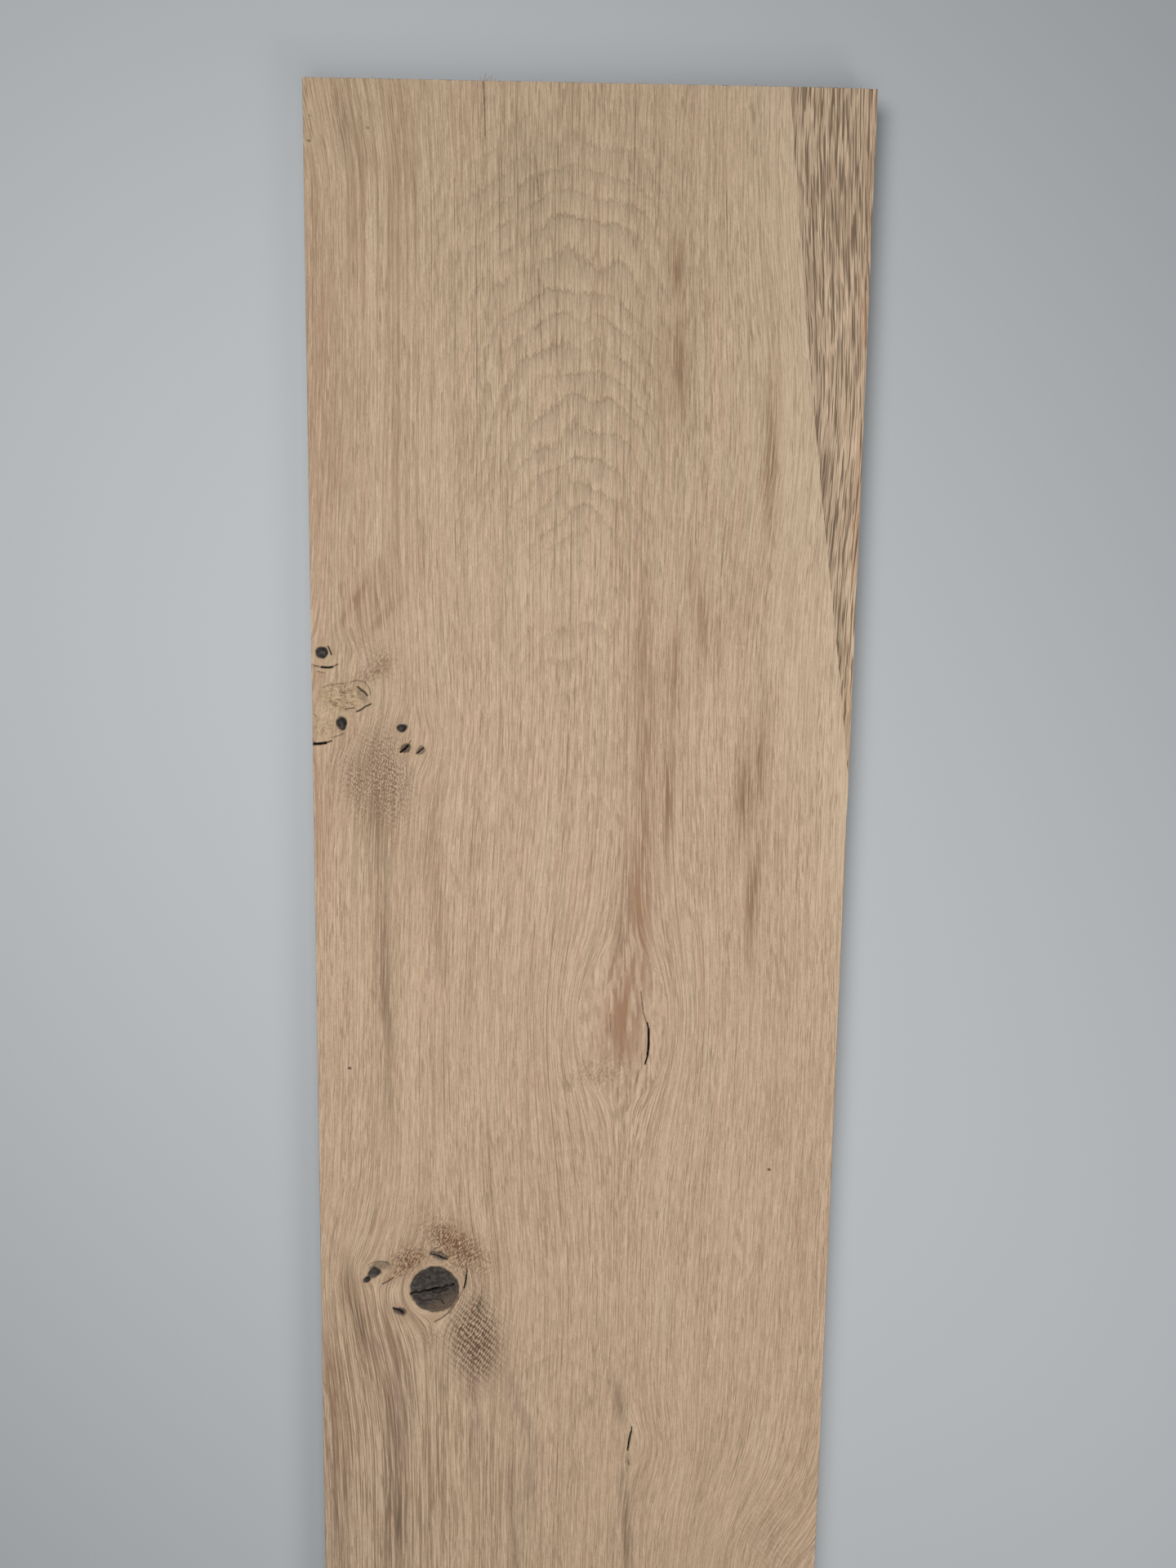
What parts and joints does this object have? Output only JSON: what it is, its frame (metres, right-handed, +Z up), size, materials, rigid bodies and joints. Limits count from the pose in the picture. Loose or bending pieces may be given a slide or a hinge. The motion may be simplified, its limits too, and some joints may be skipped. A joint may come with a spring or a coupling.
{
  "type": "oak plank",
  "caption": "Wide planed oak plank with a rough-sawn corner, dead and pin knots and drying splits; building stock that lies flat.",
  "frame": {"origin": "middle of the underside, which is the bottom centre of the bounding box", "axes": "+X across the width, towards the edge with the rough-sawn corner; +Y along the grain, towards the sawn end with that corner; +Z up, out of the planed face"},
  "size_m": [0.3, 2, 0.027],
  "materials": {
    "oak": "planed, unfinished and matt, with the rough-sawn surface left on one corner"
  },
  "bodies": {
    "root": {"plank": "oak"}
  },
  "joints": []
}
